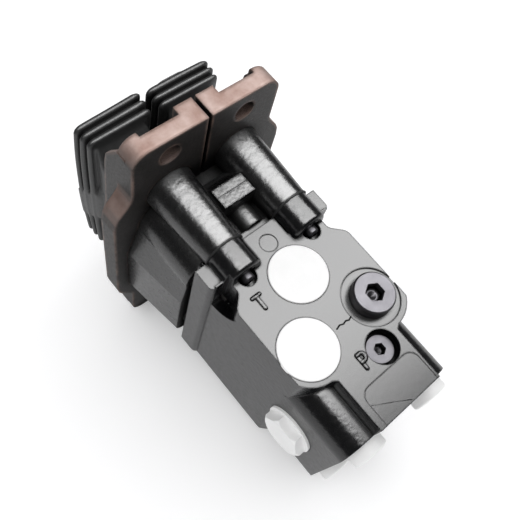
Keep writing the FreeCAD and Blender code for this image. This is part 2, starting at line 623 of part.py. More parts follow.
def build():
    save("lower_casing", make_lower_casing())
    save("separator_plate", make_separator())
    save("upper_casing", make_upper_casing())
    left_cover = make_left_cover()
    save("left_cover", left_cover)
    save("right_cover", mirror_x(left_cover))

    sites = list(STATIONS.values())
    save("tie_bolts", group([tie_bolt(x, y) for x, y in BOLTS]))
    save("rod_guides", group([rod_guide(x, y) for x, y in sites]))
    rod_fit = ROD_R + 0.03
    save("rod_seals", group([ring(6.6, rod_fit, x, y, POCKET_Z - 2.4, POCKET_Z - 0.2) for x, y in sites]))
    save("separator_seals", group([ring(6.6, rod_fit, x, y, JOINT_Z + 0.1, JOINT_Z + 2.0) for x, y in sites]))
    save("chamber_seals", group([ring(12.4, 10.8, x, y, JOINT_Z - 1.3, JOINT_Z) for x, y in sites]))
    seat_z = JOINT_Z + SEPARATOR_T
    save("damper_seals", group([ring(13.6, 12.0, x, y, seat_z, seat_z + 1.2) for x, y in sites]))

    save("t_port_cap", port_cap(*T_PORT))
    save("p_port_cap", port_cap(*P_PORT))
    save("outlet_caps", group([outlet_cap(x, y) for x, y in sites]))
    save("side_port_plug", make_side_plug())
    save("shuttle_plug", make_large_plug())
    x, z = LARGE_PLUG
    save("shuttle_plug_seal", ring_y(8.25, 7.0, x, z, -BODY_HY + 0.8, -BODY_HY + 2.4))
    save("gauge_plug", make_small_plug())
    x, z = SMALL_PLUG
    y = -BODY_HY + SMALL_RECESS_D
    save("gauge_plug_seal", ring_y(4.9, 4.0, x, z, y, y + 1.1))
    save("gallery_plug", cyl_y(4.3, -0.9, -48.3, -BODY_HY + 0.3, -BODY_HY + 3.5))

    for name, (x, y) in STATIONS.items():
        save(name + "_push_rod", make_rod(x, y))
        save(name + "_piston", make_piston(x, y))
        save(name + "_spring_seat", make_seat(x, y))
        save(name + "_return_spring", spring(x, y, -36.5, -20.0, 7.4, 0.9, 4.5))
        save(name + "_balance_spring", spring(x, y, -72.0, -54.0, 5.6, 0.8, 5.5))
        save(name + "_spool", make_spool(x, y))

    for side, flip in (("left", False), ("right", True)):
        pieces = {
            "cam": make_left_cam(), "cam_bush": make_left_bush(),
            "cam_shaft": make_left_shaft(), "bellows": make_left_bellows(),
        }
        for piece, shape in pieces.items():
            save("%s_%s" % (side, piece), mirror_x(shape) if flip else shape)
    screws = []
    for sx in (-1, 1):
        for dx in (-10.75, 10.75):
            screw = cyl(2.5, sx * STATION_X + dx, 0, PIVOT_Z + SHAFT_R - 0.5, PIVOT_Z + 8.6)
            tip = ring(3.0, 2.2, sx * STATION_X + dx, 0, PIVOT_Z + SHAFT_R - 0.6, PIVOT_Z + SHAFT_R + 0.2)
            screw = screw.cut(tip)
            screws.append(screw.cut(hex_prism(2.5, (sx * STATION_X + dx, 0, PIVOT_Z + 6.0), (0, 0, 1), 4)))
    save("shaft_set_screws", group(screws))


build()
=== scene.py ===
"""Two-pedal foot pilot valve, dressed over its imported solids.

The valve hangs from its two covers: +Z runs up to the pedals, -Y is the port
face and +X is to the right seen from the ports. Sizes below are millimetres,
turned to metres where a mesh is made.
"""
import logging
import math
from dataclasses import dataclass
from enum import Enum

import bpy
from mathutils import Matrix, Vector, noise


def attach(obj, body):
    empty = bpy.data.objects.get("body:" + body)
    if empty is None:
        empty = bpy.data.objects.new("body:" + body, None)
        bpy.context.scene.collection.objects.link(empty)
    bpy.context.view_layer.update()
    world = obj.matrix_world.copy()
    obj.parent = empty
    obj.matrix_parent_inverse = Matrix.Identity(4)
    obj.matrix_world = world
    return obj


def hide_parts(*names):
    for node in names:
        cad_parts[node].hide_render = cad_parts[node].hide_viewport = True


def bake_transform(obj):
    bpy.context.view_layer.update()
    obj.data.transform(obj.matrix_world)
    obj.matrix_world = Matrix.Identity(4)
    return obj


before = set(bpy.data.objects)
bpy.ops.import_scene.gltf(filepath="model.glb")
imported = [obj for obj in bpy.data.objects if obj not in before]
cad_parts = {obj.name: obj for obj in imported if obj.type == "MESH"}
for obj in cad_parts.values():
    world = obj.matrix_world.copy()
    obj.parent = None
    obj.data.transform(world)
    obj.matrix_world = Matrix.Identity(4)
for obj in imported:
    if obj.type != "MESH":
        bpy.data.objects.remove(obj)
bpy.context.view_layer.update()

logging.basicConfig(level=logging.INFO, format="%(message)s")
log = logging.getLogger("pilot_valve")

MM = 0.001
HANDS = {"left": -1.0, "right": 1.0}
ENDS = {"front": -1.0, "rear": 1.0}
# The four stations' rods stand this far from the middle, across and along.
STATION_X = 20.0
STATION_Y = 24.7
STATIONS = {f"{hand}_{end}": (sx * STATION_X, sy * STATION_Y)
            for hand, sx in HANDS.items() for end, sy in ENDS.items()}
PORT_FACE_Y = -48.0
# A point this near to a side lies on it.
NEAR_MM = 0.05
# Painted shade in corners and hollows: nearly black, dry and dull.
CORNER_SHADE = "#030303"
CORNER_SHADE_ROUGHNESS = 0.85
CORNER_SHADE_SPECULAR = 0.12
# A place is two of x, y and z, and a stroke runs from one place to another.
Place = tuple[float, float]
Point = tuple[float, float, float]
Stroke = tuple[Place, Place]


def share(value: float) -> float:
    """Keep a value between nought and one."""
    return min(max(value, 0.0), 1.0)


def linear_colour(code: str) -> tuple[float, float, float, float]:
    """Turn an sRGB hex colour into the linear values that a shader takes.

    Args:
        code: Six hex digits, with or without a leading #.

    Returns:
        Red, green, blue and an alpha of one.
    """
    digits = code.lstrip("#")
    values = [int(digits[i:i + 2], 16) / 255 for i in (0, 2, 4)]
    red, green, blue = (v / 12.92 if v <= 0.04045 else ((v + 0.055) / 1.055) ** 2.4 for v in values)
    return red, green, blue, 1.0


def add_node(tree: bpy.types.NodeTree, kind: str, settings: dict | None = None,
             inputs: dict | None = None) -> bpy.types.Node:
    """Add one node with its settings, socket values and links.

    Args:
        tree: The node tree that gets it.
        kind: The node's Blender type name.
        settings: Attribute values by name.
        inputs: By input name or number, a value or the output socket to link.

    Returns:
        The new node.
    """
    node = tree.nodes.new(kind)
    for key, value in (settings or {}).items():
        setattr(node, key, value)
    for key, value in (inputs or {}).items():
        if isinstance(value, bpy.types.NodeSocket):
            tree.links.new(value, node.inputs[key])
        else:
            node.inputs[key].default_value = value
    return node


class Grain(Enum):
    """How a surface was made, which sets the pattern on it."""

    SAND_CAST = "sand cast"
    MACHINED = "machined"
    ROLLED = "rolled"
    MOULDED = "moulded"


@dataclass(frozen=True)
class Finish:
    """One real surface: its two tones, its gloss and the grain left by how it was made.

    The colours are hex codes. The corner shade reach is how far out of a corner the
    painted shade reaches, in millimetres, edge is the tone of the rubbed edges and
    edge_mm how far they are rounded, and the port values hold where the surface faces
    the ports. The port colours there are a warm tone, painted lighter because those
    faces look towards the main lamp.
    """

    name: str
    main: str
    second: str
    roughness: float
    spread: float
    grain: Grain
    grain_mm: float
    relief_mm: float
    metallic: float = 0.0
    ior: float = 1.5
    specular: float = 0.5
    edge: str = ""
    edge_mm: float = 0.5
    port_tone_and_light: str = ""
    port_second_tone_and_light: str = ""
    port_roughness: float = 0.0
    corner_shade_mm: float = 0.0

    def _patterns(self, tree: bpy.types.NodeTree) -> tuple[bpy.types.NodeSocket, bpy.types.NodeSocket]:
        """Lay the grain and the slow patches of tone over the surface.

        Args:
            tree: The material's node tree.

        Returns:
            The grain's height, and the patches, both from 0 to 1.
        """
        place = add_node(tree, "ShaderNodeTexCoord").outputs["Object"]
        stretch = {
            Grain.SAND_CAST: (1.0, 1.0, 1.0),
            Grain.MACHINED: (1.0, 1.0, 6.0),
            Grain.ROLLED: (0.25, 1.0, 1.0),
            Grain.MOULDED: (1.0, 1.0, 1.0),
        }[self.grain]
        laid = add_node(tree, "ShaderNodeMapping", inputs={"Vector": place, "Scale": stretch})
        grain = add_node(tree, "ShaderNodeTexNoise", inputs={
            "Vector": laid.outputs["Vector"],
            "Scale": 1.0 / (self.grain_mm * MM),
            "Detail": 1.6,
            "Roughness": 0.5,
        })
        patches = add_node(tree, "ShaderNodeTexNoise", inputs={
            "Vector": place,
            "Scale": 1.0 / (max(self.grain_mm * 9.0, 12.0) * MM),
            "Detail": 4.0,
            "Roughness": 0.6,
        })
        return grain.outputs["Fac"], patches.outputs["Fac"]

    def _port_tone_and_light(self, tree: bpy.types.NodeTree, colour: bpy.types.NodeSocket,
                   tone: bpy.types.NodeSocket, turned: bpy.types.NodeSocket) -> bpy.types.NodeSocket:
        """Lay the port side's warm tone over the colour, painted lighter where the faces look towards
        the main lamp.

        Args:
            tree: The material's node tree.
            colour: The colour so far.
            tone: The slow patches, from 0 to 1.
            turned: How far the surface faces the ports.

        Returns:
            The tinted colour.
        """
        faced = add_node(tree, "ShaderNodeMapRange", inputs={
            "Value": turned, "From Min": 0.1, "From Max": 0.95})
        lit_port_tone = add_node(tree, "ShaderNodeMix", {"data_type": "RGBA"}, {
            0: tone, 6: linear_colour(self.port_tone_and_light), 7: linear_colour(self.port_second_tone_and_light)})
        return add_node(tree, "ShaderNodeMix", {"data_type": "RGBA"}, {
            0: faced.outputs["Result"], 6: colour, 7: lit_port_tone.outputs[2]}).outputs[2]

    def _rubbed(self, tree: bpy.types.NodeTree, colour: bpy.types.NodeSocket,
                tone: bpy.types.NodeSocket, soft: bpy.types.NodeSocket) -> bpy.types.NodeSocket:
        """Rub the finish off along the edges.

        Args:
            tree: The material's node tree.
            colour: The colour so far.
            tone: The slow patches, from 0 to 1.
            soft: The normal with the edges rounded.

        Returns:
            The colour with rubbed edges.
        """
        flat = add_node(tree, "ShaderNodeNewGeometry").outputs["Normal"]
        turn = add_node(tree, "ShaderNodeVectorMath", {"operation": "DOT_PRODUCT"}, {0: soft, 1: flat})
        worn = add_node(tree, "ShaderNodeMapRange", inputs={
            "Value": turn.outputs["Value"], "From Min": 0.995, "From Max": 0.9,
            "To Min": 0.0, "To Max": 0.9})
        rubbed = add_node(tree, "ShaderNodeMath", {"operation": "MULTIPLY"}, {
            0: worn.outputs["Result"], 1: tone})
        return add_node(tree, "ShaderNodeMix", {"data_type": "RGBA"}, {
            0: rubbed.outputs["Value"], 6: colour, 7: linear_colour(self.edge)}).outputs[2]

    def _corner_shade(self, tree: bpy.types.NodeTree) -> bpy.types.NodeSocket:
        """Find the corners and hollows that get the painted shade.

        Args:
            tree: The material's node tree.

        Returns:
            Nought in the open and one deep in a corner.
        """
        open_air = add_node(tree, "ShaderNodeAmbientOcclusion", {"samples": 6}, {
            "Distance": self.corner_shade_mm * MM}).outputs["AO"]
        return add_node(tree, "ShaderNodeMapRange", inputs={
            "Value": open_air, "From Min": 0.75, "From Max": 0.35}).outputs["Result"]

    def material(self) -> bpy.types.Material:
        """Make the finish as a material, or return it if it is made already.

        Returns:
            The material, with every pattern worked out from the surface itself.
        """
        made = bpy.data.materials.get(self.name)
        if made:
            return made
        made = bpy.data.materials.new(self.name)
        made.use_nodes = True
        tree = made.node_tree
        tree.nodes.clear()
        height, patches = self._patterns(tree)
        tone = add_node(tree, "ShaderNodeMapRange", inputs={
            "Value": patches, "From Min": 0.35, "From Max": 0.65}).outputs["Result"]
        soft = add_node(tree, "ShaderNodeBevel", {"samples": 4}, {
            "Radius": self.edge_mm * MM}).outputs["Normal"]
        turned = add_node(tree, "ShaderNodeVectorMath", {"operation": "DOT_PRODUCT"}, {
            0: soft, 1: (0.0, -1.0, 0.0)}).outputs["Value"]
        colour = add_node(tree, "ShaderNodeMix", {"data_type": "RGBA"}, {
            0: tone, 6: linear_colour(self.main), 7: linear_colour(self.second)}).outputs[2]
        gloss = add_node(tree, "ShaderNodeMapRange", inputs={
            "Value": height, "From Min": 0.3, "From Max": 0.7,
            "To Min": self.roughness - self.spread, "To Max": self.roughness + self.spread,
        }).outputs["Result"]
        shine = self.specular
        strength = 1.0
        # Painted light: faces towards the ports get a warm tone, lighter where they look towards the
        # main lamp.
        if self.port_tone_and_light:
            colour = self._port_tone_and_light(tree, colour, tone, turned)
        if self.port_roughness:
            milled = add_node(tree, "ShaderNodeMapRange", inputs={
                "Value": turned, "From Min": 0.97, "From Max": 0.995}).outputs["Result"]
            gloss = add_node(tree, "ShaderNodeMix", inputs={
                0: milled, 2: gloss, 3: self.port_roughness}).outputs[0]
            strength = add_node(tree, "ShaderNodeMapRange", inputs={
                "Value": milled, "To Min": 1.0, "To Max": 0.2}).outputs["Result"]
        if self.edge:
            colour = self._rubbed(tree, colour, tone, soft)
        # Painted shade: corners and hollows turn near-black and dull, by how closed in they are.
        if self.corner_shade_mm:
            corner = self._corner_shade(tree)
            gloss = add_node(tree, "ShaderNodeMix", inputs={
                0: corner, 2: gloss, 3: CORNER_SHADE_ROUGHNESS}).outputs[0]
            shine = add_node(tree, "ShaderNodeMix", inputs={
                0: corner, 2: self.specular, 3: CORNER_SHADE_SPECULAR}).outputs[0]
            colour = add_node(tree, "ShaderNodeMix", {"data_type": "RGBA"}, {
                0: corner, 6: colour, 7: linear_colour(CORNER_SHADE)}).outputs[2]
        relief = add_node(tree, "ShaderNodeBump", inputs={
            "Height": height, "Distance": self.relief_mm * MM, "Strength": strength, "Normal": soft})
        shader = add_node(tree, "ShaderNodeBsdfPrincipled", inputs={
            "Base Color": colour,
            "Roughness": gloss,
            "Normal": relief.outputs["Normal"],
            "Metallic": self.metallic,
            "IOR": self.ior,
            "Specular IOR Level": shine,
        })
        add_node(tree, "ShaderNodeOutputMaterial", inputs={"Surface": shader.outputs["BSDF"]})
        return made

    def dress(self, *nodes: str) -> None:
        """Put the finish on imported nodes.

        Args:
            nodes: The nodes' names.
        """
        for name in nodes:
            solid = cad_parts[name]
            if not solid.material_slots:
                solid.data.materials.append(self.material())
            for held in solid.material_slots:
                held.material = self.material()
            log.info("dressed %s with %s", name, self.name)


# Black enamel straight over sand-cast iron: next to no body colour, and a gloss
# that is broken up by the lumps that the sand left. Real grains are half a
# millimetre across and less; they are drawn coarser, or they would be lost.
# Painted shade darkens its corners, the neck between the tubes and the tubes' tops under the covers.
CAST_ENAMEL = Finish(
    "black_enamel_on_sand_cast_iron", "#040405", "#09090a", roughness=0.26, spread=0.03,
    grain=Grain.SAND_CAST, grain_mm=2.4, relief_mm=0.12, ior=1.6, specular=0.75,
    edge_mm=1.8, corner_shade_mm=12.0)
# The same enamel where the casting is milled: flat and satin towards the ports,
# with the cast lumps left on the other sides.
# Painted shade draws thin dark lines round the caps, plugs and letters on it.
MACHINED_ENAMEL = Finish(
    "black_enamel_on_milled_iron", "#050507", "#0b0b0d", roughness=0.22, spread=0.05,
    grain=Grain.SAND_CAST, grain_mm=1.8, relief_mm=0.08, specular=0.66,
    edge_mm=0.8, port_roughness=0.27, corner_shade_mm=2.2)
# Flame-cut steel under a thin black oxide, which has turned a warm brown on the
# cut edges that face the ports and where it is rubbed. On the faces towards the
# ports that brown is painted lighter, as painted light from the main lamp, and the
# underside near the casing gets painted shade.
COVER_OXIDE = Finish(
    "black_oxide_on_cut_steel", "#1f1d1c", "#292625", roughness=0.5, spread=0.06,
    grain=Grain.SAND_CAST, grain_mm=1.2, relief_mm=0.06, metallic=0.28,
    edge="#8f7468", edge_mm=2.4, port_tone_and_light="#a8928a", port_second_tone_and_light="#8a6d62", corner_shade_mm=14.0)
# Phosphated steel: a dry lilac-grey crystal coat with no clear reflection.
# Painted shade darkens its sockets and the corners round it.
PHOSPHATE = Finish(
    "phosphated_steel", "#434245", "#515053", roughness=0.36, spread=0.05,
    grain=Grain.MACHINED, grain_mm=0.6, relief_mm=0.015, metallic=0.85,
    edge_mm=0.4, corner_shade_mm=3.4)
# Ground and polished steel of the running parts.
GROUND_STEEL = Finish(
    "ground_steel", "#b4b5b8", "#c2c3c6", roughness=0.2, spread=0.04,
    grain=Grain.MACHINED, grain_mm=0.4, relief_mm=0.004, metallic=1.0, edge_mm=0.2)
# Case-hardened steel, blued grey by the furnace.
HARDENED_STEEL = Finish(
    "case_hardened_steel", "#6d6c6e", "#7f7d7c", roughness=0.35, spread=0.06,
    grain=Grain.ROLLED, grain_mm=1.0, relief_mm=0.02, metallic=0.9, edge_mm=0.4)
# Oil-tempered spring wire with the drawing marks along it.
SPRING_WIRE = Finish(
    "oil_tempered_spring_wire", "#57585c", "#6a6a6d", roughness=0.3, spread=0.05,
    grain=Grain.ROLLED, grain_mm=0.5, relief_mm=0.01, metallic=0.9, edge_mm=0.1)
# Sintered bronze holds oil in its pores, so it shines softly.
SINTERED_BRONZE = Finish(
    "sintered_bronze", "#9c7440", "#ab8450", roughness=0.35, spread=0.06,
    grain=Grain.MOULDED, grain_mm=0.5, relief_mm=0.02, metallic=1.0, edge_mm=0.2)
# Nitrile rubber rings: dense black with a faint moulded skin.
NITRILE = Finish(
    "nitrile_rubber", "#161617", "#1d1d1e", roughness=0.5, spread=0.05,
    grain=Grain.MOULDED, grain_mm=0.6, relief_mm=0.01, edge_mm=0.1)
# Moulded chloroprene of the boots: black and softly lit along the lips, with
# painted shade, dry and dull, in the grooves and under the lowest rib.
BOOT_RUBBER = Finish(
    "moulded_chloroprene_rubber", "#0b0c0c", "#131414", roughness=0.5, spread=0.05,
    grain=Grain.MOULDED, grain_mm=0.9, relief_mm=0.03, specular=0.9,
    edge_mm=0.3, corner_shade_mm=7.0)
# Polyethylene shipping caps: milky white, waxy and nearly without shine.
POLYETHYLENE = Finish(
    "moulded_polyethylene", "#f6f6f6", "#f2f2f2", roughness=0.45, spread=0.04,
    grain=Grain.MOULDED, grain_mm=1.5, relief_mm=0.01, specular=0.25, edge_mm=0.4)


def mesh_piece(name: str, points: list[Vector], faces: list[list[int]], finish: Finish,
               body: str) -> bpy.types.Object:
    """Make one mesh piece from points in millimetres and set it on its body.

    Args:
        name: The piece's name.
        points: Its corners, in millimetres.
        faces: Its faces, by corner number.
        finish: What it is finished with.
        body: The body that it moves with, or nothing to leave it on no body.

    Returns:
        The piece.
    """
    mesh = bpy.data.meshes.new(name)
    mesh.from_pydata([p * MM for p in points], [], faces)
    mesh.polygons.foreach_set("use_smooth", [True] * len(mesh.polygons))
    mesh.update()
    mesh.materials.append(finish.material())
    piece = bpy.data.objects.new(name, mesh)
    bpy.context.scene.collection.objects.link(piece)
    if body:
        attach(piece, body)
    log.info("made %s: %d faces on %s", name, len(faces), body or "two bodies")
    return piece


def rounded_outline(half_x: float, half_y: float, radius: float, steps: int) -> list[Place]:
    """Walk once round a rectangle with round corners, with evenly shared points.

    Args:
        half_x: Half its width.
        half_y: Half its length.
        radius: Its corners' radius.
        steps: Points on each quarter corner; each side has four times as many.

    Returns:
        The outline's points, anticlockwise.
    """
    corners = []
    for turn, (sx, sy) in enumerate(((1, 1), (-1, 1), (-1, -1), (1, -1))):
        corner = []
        for i in range(steps + 1):
            a = math.radians(90.0 * (turn + i / steps))
            corner.append((sx * (half_x - radius) + radius * math.cos(a),
                           sy * (half_y - radius) + radius * math.sin(a)))
        corners.append(corner)
    ring = []
    for corner, following in zip(corners, corners[1:] + corners[:1]):
        last, start = corner[-1], following[0]
        side = steps * 4
        ring += corner
        ring += [(last[0] + (start[0] - last[0]) * i / side, last[1] + (start[1] - last[1]) * i / side)
                 for i in range(1, side)]
    return ring


def tube_faces(first: int, steps: int, around: int) -> list[list[int]]:
    """List the faces of a swept tube with closed ends.

    Args:
        first: Its first point's number.
        steps: How many lengths the tube is swept in.
        around: Points round the tube.

    Returns:
        The faces, facing out where the tube's path turns anticlockwise.
    """
    faces = []
    for i in range(steps):
        low, high = first + i * around, first + (i + 1) * around
        for k in range(around):
            j = (k + 1) % around
            faces.append([low + k, high + k, high + j, low + j])
    faces.append([first + k for k in range(around)])
    faces.append([first + steps * around + k for k in reversed(range(around))])
    return faces


def ring_faces(first: int, levels: int, count: int, closed: bool = False) -> list[list[int]]:
    """List the faces between rings of points that follow one another.

    Args:
        first: The first ring's first point.
        levels: How many rings there are.
        count: Points on each ring.
        closed: Whether the last ring joins the first, instead of leaving both ends open.

    Returns:
        The faces.
    """
    faces = []
    for k in range(levels if closed else levels - 1):
        low, high = first + k * count, first + (k + 1) % levels * count
        for i in range(count):
            j = (i + 1) % count
            faces.append([low + i, low + j, high + j, high + i])
    return faces


@dataclass(frozen=True)
class Softbox:
    """One diffused lamp that faces the valve.

    Towards is the way from the valve to it. Its distance and sides are metres,
    and its radiance is how bright it looks, where white paper in plain light is
    one. With gloss_only it shows only in reflections and lights nothing.
    """

    name: str
    towards: Point
    distance: float
    width: float
    height: float
    radiance: float
    gloss_only: bool = False

    def hang(self, centre: Point) -> None:
        """Hang the lamp so that it faces a point.

        Args:
            centre: The point that it faces, in metres.
        """
        data = bpy.data.lights.new(self.name, "AREA")
        data.shape = "RECTANGLE"
        data.size, data.size_y = self.width, self.height
        data.energy = self.radiance * math.pi * self.width * self.height
        lamp = bpy.data.objects.new(self.name, data)
        away = Vector(self.towards).normalized()
        lamp.location = Vector(centre) + away * self.distance
        lamp.rotation_mode = "QUATERNION"
        lamp.rotation_quaternion = away.to_track_quat("Z", "Y")
        lamp.visible_diffuse = not self.gloss_only
        bpy.context.scene.collection.objects.link(lamp)


@dataclass
class Studio:
    """The photograph's camera, a soft light tent and the white table that the valve lies on.

    Places and lengths are metres in the valve's frame, apart from the lens.
    Table_drop is where the table crosses the line along table_up. Fill is how
    bright the tent is as a lamp. The mirrored values are how bright it looks in a
    reflection, on the table's side and on the other, and room_edge is where one
    fades into the other, measured along table_up.
    """

    eye: Point = (-0.11928, -0.30049, -0.11220)
    across: Point = (0.74836, -0.17375, -0.64013)
    upward: Point = (0.53689, -0.40802, 0.73842)
    forward: Point = (0.38949, 0.89629, 0.21206)
    lens_mm: float = 44.42
    table_up: Point = (0.0, -0.9668, 0.2555)
    table_drop: float = -0.0826
    table_half: float = 0.5
    table_glow: float = 0.24
    centre: Point = (0.0, 0.0, -0.045)
    main_side: Point = (0.205, -0.974, 0.085)
    fill: float = 0.84
    mirrored_table: float = 1.0
    mirrored_room: float = 0.08
    room_edge: Place = (-0.3, -0.05)

    def lamps(self) -> tuple[Softbox, ...]:
        """List the lamps: the main one with its bright card for the gloss, and one behind."""
        return (
            Softbox("main_softbox", self.main_side, distance=0.9, width=1.5, height=0.46, radiance=1.0),
            Softbox("gloss_card", self.main_side, distance=0.88, width=1.46, height=0.44,
                    radiance=9.3, gloss_only=True),
            Softbox("rear_softbox", (0.2, 0.9, 0.35), distance=1.2, width=0.8, height=0.8, radiance=1.7),
        )

    def camera(self) -> None:
        """Stand the camera where the photograph was taken, with the same lens."""
        data = bpy.data.cameras.new("camera")
        data.sensor_width = 36.0
        data.lens = self.lens_mm
        data.clip_start, data.clip_end = 0.01, 20.0
        camera = bpy.data.objects.new("camera", data)
        turn = Matrix((self.across, self.upward, tuple(-v for v in self.forward))).transposed()
        camera.matrix_world = Matrix.Translation(self.eye) @ turn.to_4x4()
        bpy.context.scene.collection.objects.link(camera)
        bpy.context.scene.camera = camera

    def _table_paper(self) -> bpy.types.Material:
        """Make the table's white paper: lifted a little where the camera sees it, clear from behind.

        Returns:
            The material, which casts no shadow either.
        """
        material = bpy.data.materials.new("white_table")
        material.use_nodes = True
        tree = material.node_tree
        tree.nodes.clear()
        paper = add_node(tree, "ShaderNodeBsdfPrincipled", inputs={
            "Base Color": linear_colour("#f7f7f8"), "Roughness": 0.9, "Specular IOR Level": 0.0})
        glow = add_node(tree, "ShaderNodeEmission", inputs={
            "Color": (1.0, 1.0, 1.0, 1.0), "Strength": self.table_glow})
        rays = add_node(tree, "ShaderNodeLightPath")
        none = add_node(tree, "ShaderNodeEmission", inputs={"Color": (0.0, 0.0, 0.0, 1.0)})
        lift = add_node(tree, "ShaderNodeMixShader", inputs={
            0: rays.outputs["Is Camera Ray"], 1: none.outputs["Emission"], 2: glow.outputs["Emission"]})
        top = add_node(tree, "ShaderNodeAddShader", inputs={
            0: paper.outputs["BSDF"], 1: lift.outputs["Shader"]})
        clear = add_node(tree, "ShaderNodeBsdfTransparent")
        back = add_node(tree, "ShaderNodeNewGeometry").outputs["Backfacing"]
        either = add_node(tree, "ShaderNodeMath", {"operation": "MAXIMUM"}, {
            0: back, 1: rays.outputs["Is Shadow Ray"]})
        whole = add_node(tree, "ShaderNodeMixShader", inputs={
            0: either.outputs["Value"], 1: top.outputs["Shader"], 2: clear.outputs["BSDF"]})
        add_node(tree, "ShaderNodeOutputMaterial", inputs={"Surface": whole.outputs["Shader"]})
        return material

    def table(self) -> None:
        """Lay the white table under the valve's back."""
        up = Vector(self.table_up).normalized()
        half = self.table_half
        mesh = bpy.data.meshes.new("table")
        side = Vector((1.0, 0.0, 0.0))
        along = up.cross(side)
        middle = up * self.table_drop
        corners = [middle + side * a * half + along * b * half
                   for a, b in ((-1, -1), (1, -1), (1, 1), (-1, 1))]
        mesh.from_pydata(corners, [], [(0, 1, 2, 3)])
        mesh.update()
        if mesh.polygons[0].normal.dot(up) < 0:
            mesh.flip_normals()
        mesh.materials.append(self._table_paper())
        table = bpy.data.objects.new("table", mesh)
        bpy.context.scene.collection.objects.link(table)

    def tent(self) -> None:
        """Close the light tent: white where it is seen, a plain grey as a lamp.

        Mirrored, it is white on the table's side and a dim room on the other.
        """
        world = bpy.data.worlds.new("light_tent")
        bpy.context.scene.world = world
        world.use_nodes = True
        tree = world.node_tree
        tree.nodes.clear()
        rays = add_node(tree, "ShaderNodeLightPath")
        seen = add_node(tree, "ShaderNodeMath", {"operation": "MAXIMUM"}, {
            0: rays.outputs["Is Camera Ray"], 1: rays.outputs["Is Transmission Ray"]})
        towards = add_node(tree, "ShaderNodeTexCoord").outputs["Generated"]
        above = add_node(tree, "ShaderNodeVectorMath", {"operation": "DOT_PRODUCT"}, {
            0: towards, 1: self.table_up})
        room = add_node(tree, "ShaderNodeMapRange", {"interpolation_type": "SMOOTHSTEP"}, {
            "Value": above.outputs["Value"],
            "From Min": self.room_edge[0], "From Max": self.room_edge[1],
            "To Min": self.mirrored_table, "To Max": self.mirrored_room})
        mirrored = add_node(tree, "ShaderNodeMix", inputs={
            0: rays.outputs["Is Glossy Ray"], 2: self.fill, 3: room.outputs["Result"]})
        strength = add_node(tree, "ShaderNodeMath", {"operation": "MAXIMUM"}, {
            0: seen.outputs["Value"], 1: mirrored.outputs[0]})
        shine = add_node(tree, "ShaderNodeBackground", inputs={
            "Color": (1.0, 1.0, 1.0, 1.0), "Strength": strength.outputs["Value"]})
        add_node(tree, "ShaderNodeOutputWorld", inputs={"Surface": shine.outputs["Background"]})

    def build(self) -> None:
        """Set the view, the lamps, the table and the tent."""
        bpy.context.scene.view_settings.view_transform = "Standard"
        self.camera()
        for lamp in self.lamps():
            lamp.hang(self.centre)
        self.table()
        self.tent()
        log.info("studio set")


